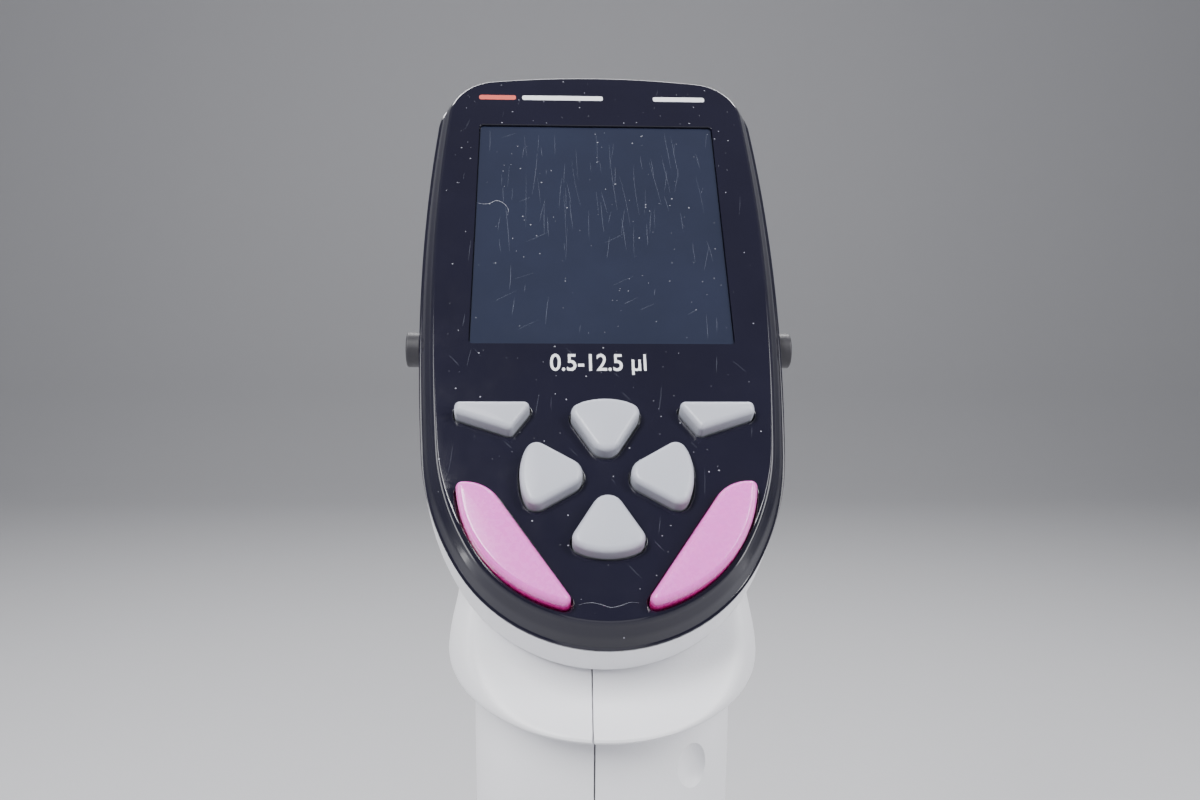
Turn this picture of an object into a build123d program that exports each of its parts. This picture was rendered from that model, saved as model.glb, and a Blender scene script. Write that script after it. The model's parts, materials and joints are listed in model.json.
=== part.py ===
from build123d import *
from math import cos, sin, radians
import os

# Electronic single-channel pipette, millimetres.
# +Z runs up the handle's axis, the display looks towards -Y, and the origin is
# the centre of the tip cone's end face.

# ---------------------------------------------------------------- driving sizes
# Head. Its own frame is (u, v, w): u to the right, v up the display face, w out of it.
FACE_TILT = 50.0            # display face, degrees from horizontal
FACE_ORIGIN = (0.0, -0.5, 223.0)
HEAD_T = 13.4               # head, front to back
BOTTOM_V = -32.6            # lowest point of the head's outline
OUTLINE_ARCS = [            # (radius, degrees turned) from the chin up to the top corner
    (21.6, 57.0),
    (36.5, 27.0),
    (347.0, 6.8),
    (347.0, 3.2),
    (9.6, 78.5),
]
BEZEL_DEPTH = 4.0           # front bezel, face to parting line
BEZEL_DRAFT = 20.0          # degrees
BEZEL_RIM = 1.9             # side wall's thickness at the parting line
BEZEL_EDGE_R = 1.1          # rounding between the face and the side wall
FRONT_WALL = 1.8            # face's thickness
WALL = 1.8                  # rear shell's wall
BACK_EDGE_R = 3.5           # rounding round the rear shell's back

WINDOW_W, WINDOW_H = 36.2, 41.6
WINDOW_V = 29.9             # window centre, up the face
WINDOW_SINK = 0.45
WINDOW_SEAT = 1.05          # depth of the recess that holds the pane
WINDOW_LIP = 1.5            # width of the ledge under the pane's edge

KEY_GAP = 0.25
KEY_RISE = 2.2
KEY_EDGE_R = 0.6
FLANGE_T = 0.8
FLANGE_GROW = 0.7           # how far the flange reaches out past the cap
PAD_V = -11.6               # centre of the four arrow keys
PAD_R = 10.6
ARROW_HALF = 5.0            # half the arrow keys' width
ARROW_CROWN = 0.25          # how far the outer edge bows out past PAD_R
ARROW_TIP_R = 2.0
ARROW_CORNER_R = 1.4
SOFT_CORNERS = [(9.1, -1.2), (19.3, -1.2), (19.4, -2.9), (12.1, -5.55)]
SOFT_CORNER_R = 0.7
SIDE_ARC = (1.2, -11.9, 17.5)       # the side keys' outer edge: centre u, v and radius
SIDE_WEDGE = [(14.9, -12.7), (40.0, -12.7), (40.0, -62.7), (-19.1, -62.7)]
SIDE_SHOULDER_R = 5.0
SIDE_CORNER_R = 0.8

BOARD_W = -4.7              # front face of the head's circuit board
BOARD_T = 1.2
SCREW_SPOTS = [(-17.0, 55.3), (17.0, 55.3)]
NECK_V = -12.0              # opening in the rear shell, into the handle
NECK_R = 6.5
CONTACT_U = (-6.0, 6.0)
CONTACT_V = 52.0
CONTACT_R = 2.2
STUD_R = 2.5
STUD_V, STUD_W = 13.5, -8.0
STUD_U = (25.6, 27.45)      # the knob's two ends
STUD_ROOT = (24.95, 2.2)    # narrow root under the knob: its inner end and radius
SPIGOT_R = 1.5

# Handle
SEAM_TURN = -5.5            # handle's parting plane about Z, from the YZ plane
HANDLE_END_Z = 86.0
HANDLE_WALL = 2.0
HANDLE_PROFILE = [(12.9, 86), (13.5, 100), (15.0, 125), (16.5, 152), (17.1, 172), (17.1, 190)]
COLLAR_R = 20.6
COLLAR_Z = 189.0            # brim plane's height on the axis
COLLAR_TILT = 12.0          # brim plane, front edge low
NECK_PROFILE = [(20.2, 193), (19.2, 197.5), (17.8, 206), (17.0, 216), (16.8, 228)]
DISH_R = 15.3               # hollow under the head's chin
DISH_AT = (-24.0, 200.5)    # its axis, (Y, Z), along X
SHELL_SCREWS = [(9.0, 146.0), (8.0, 205.0)]      # (Y, Z) in the seam's own frame
SCOOP_TURN, SCOOP_Z, SCOOP_R = 39.0, 178.6, 2.6
BUTTON_SLOT = [(-3.4, 3.4), (-30, -10), (139.5, 155.5)]
TRIGGER_WINDOW = [(-7.0, 7.0), (8, 30), (158, 184)]
LEDGE_Z = (113, 116)        # ledge inside the handle that carries the drive
HOOK_TOP = [(15.0, 206.0), (24.0, 205.5), (34.0, 202.5), (41.0, 196.5), (44.5, 188.5)]
HOOK_NOSE = [(44.5, 188.5), (43.0, 184.5), (40.2, 185.5)]
HOOK_UNDER = [(40.2, 185.5), (37.5, 191.0), (32.5, 195.3), (25.0, 197.2), (15.0, 196.0)]
HOOK_W = 15.0               # finger rest's width

# Trigger and ejector
PIVOT_Y, PIVOT_Z = 11.5, 187.5
PIVOT_R = 1.5
PADDLE_R = 19.6
PADDLE_Z = (160, 183)
CONTROL_BOARD_Y = (3.0, 4.2)         # back and front faces of the handle's board
SWITCH_Z = 164.0
BUTTON_R = 20.4
BUTTON_Z = (138, 163)
STEM_Z = (147, 155)
ROD_Y, ROD_R = -9.3, 1.3
SPRING_R = 9.35
SPRING_WIRE_R = 0.32
SPRING_Z = 92.4
SPRING_H = 11.2
SPRING_TURNS = 4.5

# Drive and lower end, radii about the Z axis
SCREW_R = 1.75
NUT_R = 5.6
GUIDE_R = 6.8
MOTOR_R = 7.5
BEARING_R = 2.6
PISTON_R = 0.575
BARREL_R = 6.8
SEAL_R = 2.6
TIP_CONE_R = 2.1
BORE_R = 0.45               # air channel through the tip cone

# Drive and lower end, heights along the Z axis
MOTOR_Z = (118, 134)
BEARING_T = 1.4
MAGNET_Z = (120, 132)
SCREW_Z = (100, 135)
NUT_Z = (98, 104)
GUIDE_Z = (76, 116)
ROD_Z = (66, 98)
PISTON_Z = (22, 66)
SEAL_Z = (56, 59.5)
RETAINER_Z = (59.5, 63)
CONE_SEAT_Z = 12
SEAL_RING_Z = 10.45

FACE = Plane(
    origin=FACE_ORIGIN,
    x_dir=(1, 0, 0),
    z_dir=(0, -sin(radians(FACE_TILT)), cos(radians(FACE_TILT))),
)
os.makedirs("parts", exist_ok=True)


# ------------------------------------------------------------------- small tools
def on_face(shape):
    """Carry a shape from the head's own frame (u, v, w) into the pipette's."""
    return FACE.location * shape


def write(name, shape):
    shape.label = name
    export_step(shape, f"parts/{name}.step")


def tube(r_out, r_in, z0, z1, at=(0, 0)):
    ring = Pos(at[0], at[1], z0) * extrude(Circle(r_out) - Circle(r_in), z1 - z0)
    return ring


def rod(r, z0, z1, at=(0, 0)):
    return Pos(at[0], at[1], z0) * extrude(Circle(r), z1 - z0)


def block(x, y, z):
    """A box between three (low, high) pairs."""
    size = [high - low for low, high in (x, y, z)]
    centre = [(high + low) / 2 for low, high in (x, y, z)]
    return Pos(*centre) * Box(*size)


def turned(points):
    """A solid of revolution about Z from (radius, z) corners; it closes on the axis."""
    corners = [(0, points[0][1])] + list(points) + [(0, points[-1][1])]
    profile = make_face(Plane.XZ * Polyline(*corners, close=True))
    return revolve(profile, Axis.Z)


def facing_up(sketch):
    """The same flat shape with every face's normal along +Z."""
    return Sketch() + [face if face.normal_at().Z > 0 else -face for face in sketch.faces()]


def slab(sketch, w0, w1, **keys):
    return Pos(0, 0, w0) * extrude(facing_up(sketch), w1 - w0, **keys)


def try_fillet(shape, edges, radius):
    try:
        return fillet(edges, radius)
    except Exception:
        print("fillet left out at radius", radius)
        return shape


# ---------------------------------------------------------------- head's outline
def head_outline():
    """Half the outline is a chain of tangent arcs from the chin up to the top edge."""
    point = Vector(0, BOTTOM_V)
    heading = 0.0
    arcs = []
    for radius, turn in OUTLINE_ARCS:
        direction = (cos(radians(heading)), sin(radians(heading)))
        arc = JernArc(start=point, tangent=direction, radius=radius, arc_size=turn)
        arcs.append(arc)
        point = arc @ 1
        heading += turn
    last = radians(180.0 - heading)
    crown = point.X / sin(last)
    direction = (cos(radians(heading)), sin(radians(heading)))
    arcs.append(JernArc(start=point, tangent=direction, radius=crown, arc_size=180.0 - heading))
    half = make_face([*arcs, Line(arcs[-1] @ 1, (0, BOTTOM_V))])
    return half + mirror(half, about=Plane.YZ)


OUTLINE = head_outline()


def inset(amount):
    return offset(OUTLINE, amount=-amount)


# -------------------------------------------------------------------- key shapes
def arrow_shape(grow):
    """Petal key that points at -v: a curved outer edge and two straight sides."""
    top = (PAD_R ** 2 - ARROW_HALF ** 2) ** 0.5
    crown = ThreePointArc((-ARROW_HALF, top), (0, PAD_R + ARROW_CROWN), (ARROW_HALF, top))
    sides = Polyline((ARROW_HALF, top), (0.0, 1.2), (-ARROW_HALF, top))
    face = make_face([crown, *sides.edges()])
    tip = face.vertices().sort_by(Axis.Y)[0]
    face = fillet(tip, ARROW_TIP_R)
    corners = face.vertices().sort_by(Axis.Y)[-2:]
    return offset(fillet(corners, ARROW_CORNER_R), amount=grow)


def soft_shape(grow):
    """Right-hand soft key: flat top, lower edge that slopes down to the middle."""
    face = make_face(Polyline(*SOFT_CORNERS, close=True))
    return offset(fillet(face.vertices(), SOFT_CORNER_R), amount=grow)


def side_shape(grow):
    """Right-hand leaf key: round outer edge, straight inner edge and a round shoulder."""
    disc = Pos(*SIDE_ARC[:2]) * Circle(SIDE_ARC[2] + grow)
    wedge = make_face(Polyline(*SIDE_WEDGE, close=True))
    if grow:
        wedge = offset(wedge, amount=grow, kind=Kind.INTERSECTION)
    leaf = disc & wedge
    leaf = fillet(leaf.vertices().sort_by(Axis.Y)[0], SIDE_CORNER_R + grow)
    top = leaf.vertices().sort_by(Axis.Y)[-2:]
    leaf = fillet(top.sort_by(Axis.X)[0], SIDE_SHOULDER_R + grow)
    return fillet(leaf.vertices().sort_by(Axis.X)[-1], SIDE_CORNER_R + grow)


def key_shapes(grow=0.0):
    """Outline of each key, grown by an amount all round."""
    arrow = arrow_shape(grow)
    soft = soft_shape(grow)
    side = side_shape(grow)
    shapes = {
        "arrow_up": Pos(0, PAD_V) * arrow,
        "arrow_left": Pos(0, PAD_V) * Rot(0, 0, 90) * arrow,
        "arrow_down": Pos(0, PAD_V) * Rot(0, 0, 180) * arrow,
        "arrow_right": Pos(0, PAD_V) * Rot(0, 0, 270) * arrow,
        "soft_key_right": soft,
        "soft_key_left": mirror(soft, about=Plane.YZ),
        "side_key_right": side,
        "side_key_left": mirror(side, about=Plane.YZ),
    }
    return shapes


KEYS = key_shapes()
KEY_FLANGES = key_shapes(FLANGE_GROW)
KEY_HOLES = key_shapes(KEY_GAP)


def key_cap(name):
    """Cap through the bezel, rounded on top, with a flange that holds it in."""
    seat = -FRONT_WALL - 0.1
    cap = slab(KEYS[name], seat, KEY_RISE)
    cap = try_fillet(cap, cap.faces().sort_by(Axis.Z)[-1].edges(), KEY_EDGE_R)
    flange = slab(KEY_FLANGES[name] & inset(BEZEL_RIM + 0.3), seat - FLANGE_T, seat)
    return cap + flange


# ------------------------------------------------------------------- head pieces
def front_bezel():
    tray = slab(OUTLINE, -BEZEL_DEPTH, 0, taper=BEZEL_DRAFT)
    tray = try_fillet(tray, tray.faces().sort_by(Axis.Z)[-1].edges(), BEZEL_EDGE_R)
    tray -= slab(inset(BEZEL_RIM), -BEZEL_DEPTH - 1, -FRONT_WALL)
    window = Pos(0, WINDOW_V) * RectangleRounded(WINDOW_W, WINDOW_H, 0.6)
    sight = Pos(0, WINDOW_V) * RectangleRounded(WINDOW_W - 2 * WINDOW_LIP, WINDOW_H - 2 * WINDOW_LIP, 0.5)
    tray -= slab(window, -WINDOW_SEAT, 1)
    tray -= slab(sight, -3, 1)
    for shape in KEY_HOLES.values():
        tray -= slab(shape, -3, 1)
    for u, v in SCREW_SPOTS:
        tray += slab(Pos(u, v) * (Circle(2.2) - Circle(0.9)), -BEZEL_DEPTH, -FRONT_WALL)
    return on_face(tray)


def display_window():
    pane = Pos(0, WINDOW_V) * RectangleRounded(WINDOW_W - 0.2, WINDOW_H - 0.2, 0.5)
    return on_face(slab(pane, -WINDOW_SEAT, -WINDOW_SINK))


def lcd_panel():
    glass = Pos(0, WINDOW_V) * Rectangle(WINDOW_W + 0.6, WINDOW_H + 0.8)
    return on_face(slab(glass, -3.5, -FRONT_WALL - 0.05))


def display_gasket():
    """Foam ring between the display and the circuit board."""
    ring = Rectangle(36.0, 41.4) - Rectangle(32.0, 37.4)
    return on_face(slab(Pos(0, WINDOW_V) * ring, BOARD_W, -3.5))


def key_mat():
    """Silicone mat with one dome under each key."""
    lower = Pos(0, -18.0) * Rectangle(60, 45)
    top = BOARD_W + 0.6
    mat = slab(inset(3.4) & lower, BOARD_W, top)
    for shape in KEYS.values():
        centre = shape.center()
        dome = Cone(2.0, 1.3, 0.5, align=(Align.CENTER, Align.CENTER, Align.MIN))
        mat += Pos(centre.X, centre.Y, top) * dome
    return on_face(mat)


def main_circuit_board():
    back = BOARD_W - BOARD_T
    board = slab(inset(3.2), back, BOARD_W)
    for u, v in SCREW_SPOTS:
        board -= slab(Pos(u, v) * Circle(2.6), -7, -3)
    chips = [(-8, -6, 8, 8, 1.1), (9, -4, 6, 5, 0.9), (0, -20, 10, 4, 1.6), (-10, 4.6, 5, 3, 0.8)]
    for u, v, wide, tall, high in chips:
        board += slab(Pos(u, v) * Rectangle(wide, tall), back - high, back)
    return on_face(board)


def battery_pack():
    cell = slab(Pos(0, 30) * RectangleRounded(34, 44, 2.5), -11.0, -6.5)
    cell = try_fillet(cell, cell.faces().sort_by(Axis.Z)[0].edges(), 1.0)
    return on_face(cell)


def stud_cut(side, radius):
    run = Plane(origin=(side * 20.0, STUD_V, STUD_W), z_dir=(side, 0, 0))
    return run.location * extrude(Circle(radius), 12)


def stud_cuts():
    return stud_cut(-1, SPIGOT_R) + stud_cut(1, SPIGOT_R)


def head_rear_shell():
    shell = slab(OUTLINE, -HEAD_T, -BEZEL_DEPTH)
    shell = try_fillet(shell, shell.faces().sort_by(Axis.Z)[0].edges(), BACK_EDGE_R)
    shell -= slab(inset(WALL), -HEAD_T + WALL, -BEZEL_DEPTH + 1)
    shell -= slab(Pos(0, NECK_V) * Circle(NECK_R), -HEAD_T - 1, -HEAD_T + WALL + 1)
    for u, v in SCREW_SPOTS:
        shell += slab(Pos(u, v) * Circle(2.2), -HEAD_T + WALL, -BEZEL_DEPTH)
        shell -= slab(Pos(u, v) * Circle(1.1), -HEAD_T - 1, 0)
        shell -= slab(Pos(u, v) * Circle(2.0), -HEAD_T - 1, -HEAD_T + 1.4)
    shell -= stud_cuts()
    for u in CONTACT_U:
        shell -= slab(Pos(u, CONTACT_V) * Circle(CONTACT_R), -HEAD_T - 1, -HEAD_T + 1.0)
    return on_face(shell)


def charging_contacts():
    disc = Circle(CONTACT_R)
    pads = [slab(Pos(u, CONTACT_V) * disc, -HEAD_T - 0.15, -HEAD_T + 1.0) for u in CONTACT_U]
    return on_face(Compound(children=pads))


def head_screws():
    screws = []
    for u, v in SCREW_SPOTS:
        head = slab(Pos(u, v) * Circle(1.9), -HEAD_T + 0.2, -HEAD_T + 1.4)
        head -= slab(Pos(u, v) * Rectangle(2.4, 0.5), -HEAD_T, -HEAD_T + 0.7)
        shank = slab(Pos(u, v) * Circle(0.9), -HEAD_T + 1.4, -BEZEL_DEPTH + 1.6)
        screws.append(head + shank)
    return on_face(Compound(children=screws))


def shell_wall():
    """The rear shell's side wall alone, all the way round."""
    ring = slab(OUTLINE, -HEAD_T, -BEZEL_DEPTH) - slab(inset(WALL), -HEAD_T, -BEZEL_DEPTH)
    return ring - stud_cuts()


def hanger_stud(side):
    """Round stud on the head's side; its spigot goes through the shell's wall."""
    start = Plane(origin=(side * STUD_U[0], STUD_V, STUD_W), z_dir=(side, 0, 0))
    knob = extrude(Circle(STUD_R), STUD_U[1] - STUD_U[0])
    knob = try_fillet(knob, knob.faces().sort_by(Axis.Z)[-1].edges(), 0.3)
    depth = STUD_U[0] - STUD_ROOT[0]
    root = Pos(0, 0, -depth) * extrude(Circle(STUD_ROOT[1]), depth)
    spigot = Pos(0, 0, -3.0 - depth) * extrude(Circle(SPIGOT_R), 3.0 + depth)
    return on_face(start.location * (knob + root + spigot) - shell_wall())


# ----------------------------------------------------------------------- handle
def head_envelope():
    body = slab(OUTLINE, -HEAD_T, 20)
    body = try_fillet(body, body.faces().sort_by(Axis.Z)[0].edges(), BACK_EDGE_R)
    return on_face(body)


def dish(radius):
    y, z = DISH_AT
    return Pos(0, y, z) * Rot(0, 90, 0) * Cylinder(radius, 80)


def handle_outer():
    grip = turned(HANDLE_PROFILE)
    collar = turned([(COLLAR_R, 178), (COLLAR_R, 189.5)] + NECK_PROFILE)
    tilt = radians(COLLAR_TILT)
    brim_plane = Plane(origin=(0, 0, COLLAR_Z), z_dir=(0, -sin(tilt), cos(tilt)))
    above = brim_plane.location * Pos(0, 0, 30) * Box(90, 90, 60)
    body = grip + (collar & above)
    body -= dish(DISH_R)
    return body - head_envelope()


HANDLE_OUTER = handle_outer()


def handle_cavity():
    inner = [(r - HANDLE_WALL, z) for r, z in HANDLE_PROFILE[:-1]]
    inner[0] = (inner[0][0], HANDLE_END_Z - 1)
    inner += [(15.1, 190), (14.8, 228)]
    room = turned(inner) - dish(DISH_R + HANDLE_WALL)
    ledge = tube(14.0, 11.5, *LEDGE_Z)
    return room - ledge


def turned_seam(shape):
    return Rot(0, 0, SEAM_TURN) * shape


def across(radius, x0, x1, y, z):
    return turned_seam(Pos(x0, y, z) * Rot(0, 90, 0) * extrude(Circle(radius), x1 - x0))


def handle_shell(side):
    """Half the handle: side is -1 for the left shell, +1 for the right one."""
    cavity = handle_cavity()
    body = HANDLE_OUTER - cavity
    for y, z in SHELL_SCREWS:
        body += across(2.4, -11.5, 11.5, y, z) & cavity
    reach = (0, 60) if side > 0 else (-60, 0)
    body &= turned_seam(block(reach, (-60, 60), (60, 260)))
    for y, z in SHELL_SCREWS:
        body -= across(1.0, -9.0, 20.0, y, z)
        body -= across(2.1, 11.5, 30.0, y, z)
    body -= block(*BUTTON_SLOT)
    body -= block(*TRIGGER_WINDOW)
    if side > 0:
        body -= Rot(0, 0, SCOOP_TURN) * Pos(0, -18.6, SCOOP_Z) * Sphere(SCOOP_R)
    return body


def finger_rest():
    """Hook that runs back from the collar over the index finger."""
    top = Spline(*HOOK_TOP, tangents=[(1, 0.0), (0.1, -1)])
    nose = ThreePointArc(*HOOK_NOSE)
    under = Spline(*HOOK_UNDER, tangents=[(-0.2, 1), (-1, -0.3)])
    root = Line(HOOK_UNDER[-1], HOOK_TOP[0])
    side = Plane.YZ * make_face([*top.edges(), *nose.edges(), *under.edges(), *root.edges()])
    return extrude(side, HOOK_W / 2, both=True)


def end_ring():
    ring = turned([(12.9, 84.5), (12.9, 86), (10.9, 86), (10.9, 92)])
    return ring - rod(8.95, 80, 95)


def handle_screws():
    screws = []
    for y, z in SHELL_SCREWS:
        screws.append(across(0.95, -6.0, 11.5, y, z) + across(1.9, 11.5, 12.7, y, z))
    return Compound(children=screws)


# ------------------------------------------------------------------ index trigger
def pivot_bar(radius, length):
    """A round bar along X, centred on the trigger's pivot."""
    bar = extrude(Circle(radius), length / 2, both=True)
    return Pos(0, PIVOT_Y, PIVOT_Z) * Rot(0, 90, 0) * bar


def trigger():
    paddle = rod(PADDLE_R, *PADDLE_Z) & block((-6.4, 6.4), (13.0, 30), PADDLE_Z)
    edges = paddle.faces().sort_by(Axis.Y)[-1].edges()
    paddle = try_fillet(paddle, edges, 1.5)
    arm = block((-4.0, 4.0), (9.3, 14.3), (179, 187.5))
    arm += pivot_bar(2.5, 8.0)
    boss = Pos(0, 12.3, SWITCH_Z) * Rot(-90, 0, 0) * extrude(Circle(1.5), 1.2)
    return (paddle + arm + boss) - pivot_bar(PIVOT_R + 0.05, 18.0)


def trigger_pin():
    return pivot_bar(PIVOT_R, 14.4)


def pin_bracket():
    """Bridge with two ears, on the handle's board, that carries the trigger's pin."""
    bracket = block((-7.2, 7.2), (4.2, 5.8), (184.0, 190.0))
    for x in (-6.2, 6.2):
        bracket += block((x - 1.0, x + 1.0), (4.2, 13.1), (184.0, 190.0))
    return bracket - pivot_bar(PIVOT_R, 18.0)


def handle_circuit_board():
    back, front = CONTROL_BOARD_Y
    board = block((-8, 8), (back, front), (138, 192))
    board += block((-4, 4), (back - 1.4, back), (150, 158))
    board += block((-3, 3), (back - 1.8, back), (176, 181))
    return board


def trigger_switch():
    front = CONTROL_BOARD_Y[1]
    body = block((-3, 3), (front, front + 3.8), (SWITCH_Z - 3, SWITCH_Z + 3))
    return body + Pos(0, front + 3.8, SWITCH_Z) * Rot(-90, 0, 0) * extrude(Circle(1.0), 0.9)


def trigger_spring():
    """Leaf spring on the board; the paddle closes on it at the end of the swing."""
    front = CONTROL_BOARD_Y[1]
    leaf = block((-2, 2), (front, front + 0.4), (170, 178))
    leaf += block((-2, 2), (front, front + 4.4), (169.6, 170))
    return leaf


def ribbon(points, width, thick):
    """Flat cable of one width along a path of (Y, Z) points, rounded at its bends."""
    path = FilletPolyline(*[(0, y, z) for y, z in points], radius=2.0)
    start = path % 0
    section = Plane(origin=path @ 0, x_dir=(1, 0, 0), z_dir=start) * Rectangle(width, thick)
    return sweep(section, path=path)


def flex_cable():
    """Ribbon from the head's board, down through the neck, to the handle's board."""
    head_end = on_face(Pos(0, NECK_V + 2.0, -7.6)).position
    exit_point = on_face(Pos(0, NECK_V, -16.5)).position
    points = [(head_end.Y, head_end.Z), (exit_point.Y, exit_point.Z), (2.3, 194.0), (2.3, 182.0)]
    return ribbon(points, 7.0, 0.3)


# ------------------------------------------------------------- drive and pipetting
def guide_tube():
    bore = NUT_R + 0.3
    low, high = GUIDE_Z
    body = tube(GUIDE_R, bore, low, high) + tube(12.1, bore, high, MOTOR_Z[0])
    body -= block((-1.2, 1.2), (5, 8), (96, 115.9))
    body -= block((-1.8, 1.8), (-13, -7.6), (115, 119))
    return body


def motor_body():
    low, high = MOTOR_Z
    shell = turned([(MOTOR_R, low), (MOTOR_R, high)]) - rod(4.95, low + BEARING_T, high - BEARING_T)
    shell -= rod(BEARING_R, low - 1, high + 1)
    plug = block((-4, 4), (7.0, 9.6), (124, 129))
    return shell + (plug - rod(MOTOR_R - 0.1, low, high))


def motor_bearings():
    bore = SCREW_R + 0.05
    low, high = MOTOR_Z
    lower = tube(BEARING_R, bore, low, low + BEARING_T)
    upper = tube(BEARING_R, bore, high - BEARING_T, high)
    return Compound(children=[lower, upper])


def rotor_magnet():
    return tube(4.6, SCREW_R, *MAGNET_Z)


def lead_screw():
    screw = rod(SCREW_R, *SCREW_Z)
    return try_fillet(screw, screw.faces().sort_by(Axis.Z)[0].edges(), 0.4)


def drive_nut():
    low, high = NUT_Z
    nut = tube(NUT_R, SCREW_R + 0.1, low, high)
    return nut + block((-1.0, 1.0), (5.3, 6.6), (low, high - 0.7))


def piston_rod():
    low, high = ROD_Z
    shaft = turned([(2.2, low), (2.2, 84), (3.0, 84), (3.0, high)])
    return shaft - rod(2.1, 85, high + 1)


def piston():
    return rod(PISTON_R, *PISTON_Z)


def lower_barrel():
    seat, top = CONE_SEAT_Z, GUIDE_Z[0]
    body = turned([(2.6, seat), (2.6, 16), (3.4, 40), (BARREL_R, 66), (BARREL_R, top)])
    body -= rod(PISTON_R + 0.1, seat - 2, SEAL_Z[0] + 2)
    body -= rod(1.6, seat - 2, seat + 6)
    body -= rod(SEAL_R, SEAL_Z[0], RETAINER_Z[1] + 1)
    body -= rod(3.4, RETAINER_Z[1], top + 2)
    return body


def piston_seal():
    return tube(SEAL_R, 0.64, *SEAL_Z)


def seal_retainer():
    return tube(SEAL_R, 0.9, *RETAINER_Z)


def tip_cone():
    seat = CONE_SEAT_Z
    cone = turned([(1.7, 0), (TIP_CONE_R, 1), (TIP_CONE_R, 9), (2.5, 9.4), (2.5, seat)])
    cone += rod(1.6, seat, seat + 6)
    groove = tube(3.0, 2.1, SEAL_RING_Z - 0.45, SEAL_RING_Z + 0.45)
    return cone - rod(BORE_R, -1, 20) - groove


def tip_seal_ring():
    return Pos(0, 0, SEAL_RING_Z) * Torus(2.4, 0.3)


# ------------------------------------------------------------------- tip ejector
def ejector_sleeve():
    outside = turned([(3.9, 14), (5.5, 40), (9.6, 70), (10.2, 76), (10.2, 82)])
    inside = turned([(2.9, 14), (4.3, 40), (8.0, 68), (8.0, 74)])
    return outside - inside - rod(8.62, 74, 83)


def ejector_carrier():
    body = tube(8.6, 7.2, 74, 107) + tube(10.2, 7.2, 104, 107)
    lug = block((-2.6, 2.6), (-10.7, -7.4), (104, 110)) - rod(7.2, 100, 112)
    return (body + lug) - rod(ROD_R, 105.5, 111, at=(0, ROD_Y))


def ejector_rod():
    stem = block((-3, 3), (-17.6, -7.5), STEM_Z)
    return stem + rod(ROD_R, 105.5, STEM_Z[1] - 1, at=(0, ROD_Y))


def ejector_button():
    pad = tube(BUTTON_R, 17.4, *BUTTON_Z)
    pad &= block((-6, 6), (-30, 0), BUTTON_Z)
    outer_edges = pad.faces().filter_by(GeomType.CYLINDER).sort_by(Axis.Y)[0].edges()
    pad = try_fillet(pad, outer_edges, 1.2)
    return pad - block((-3, 3), (-17.6, -10), STEM_Z)


def ejector_spring():
    coil = Helix(pitch=SPRING_H / SPRING_TURNS, height=SPRING_H, radius=SPRING_R)
    section = Plane(origin=coil @ 0, z_dir=coil % 0) * Circle(SPRING_WIRE_R)
    return Pos(0, 0, SPRING_Z) * sweep(section, path=coil, is_frenet=True)


# ------------------------------------------------------------------ write it out
def main():
    write("front_bezel", front_bezel())
    write("display_window", display_window())
    write("lcd_panel", lcd_panel())
    write("display_gasket", display_gasket())
    write("key_mat", key_mat())
    write("main_circuit_board", main_circuit_board())
    write("battery_pack", battery_pack())
    write("head_rear_shell", head_rear_shell())
    write("charging_contacts", charging_contacts())
    write("head_screws", head_screws())
    write("hanger_stud_left", hanger_stud(-1))
    write("hanger_stud_right", hanger_stud(1))
    for name in KEYS:
        write(name, on_face(key_cap(name)))

    left, right = handle_shell(-1), handle_shell(1)
    write("handle_left_shell", left)
    write("handle_right_shell", right)
    hook = finger_rest() - HANDLE_OUTER
    write("finger_rest", hook.solids().sort_by(SortBy.VOLUME)[-1])
    write("end_ring", end_ring())
    write("handle_screws", handle_screws())

    write("trigger", trigger())
    write("trigger_pin", trigger_pin())
    write("pin_bracket", pin_bracket())
    write("handle_circuit_board", handle_circuit_board())
    write("trigger_switch", trigger_switch())
    write("trigger_spring", trigger_spring())
    write("flex_cable", flex_cable())

    write("guide_tube", guide_tube())
    write("motor_body", motor_body())
    write("motor_bearings", motor_bearings())
    write("rotor_magnet", rotor_magnet())
    write("lead_screw", lead_screw())
    write("drive_nut", drive_nut())
    write("piston_rod", piston_rod())
    write("piston", piston())
    write("lower_barrel", lower_barrel())
    write("piston_seal", piston_seal())
    write("seal_retainer", seal_retainer())
    write("tip_cone", tip_cone())
    write("tip_seal_ring", tip_seal_ring())

    write("ejector_sleeve", ejector_sleeve())
    write("ejector_carrier", ejector_carrier())
    write("ejector_rod", ejector_rod())
    write("ejector_button", ejector_button())
    write("ejector_spring", ejector_spring())


main()
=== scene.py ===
import json
import math
import random

import bmesh
import bpy
from mathutils import Matrix, Vector


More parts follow.
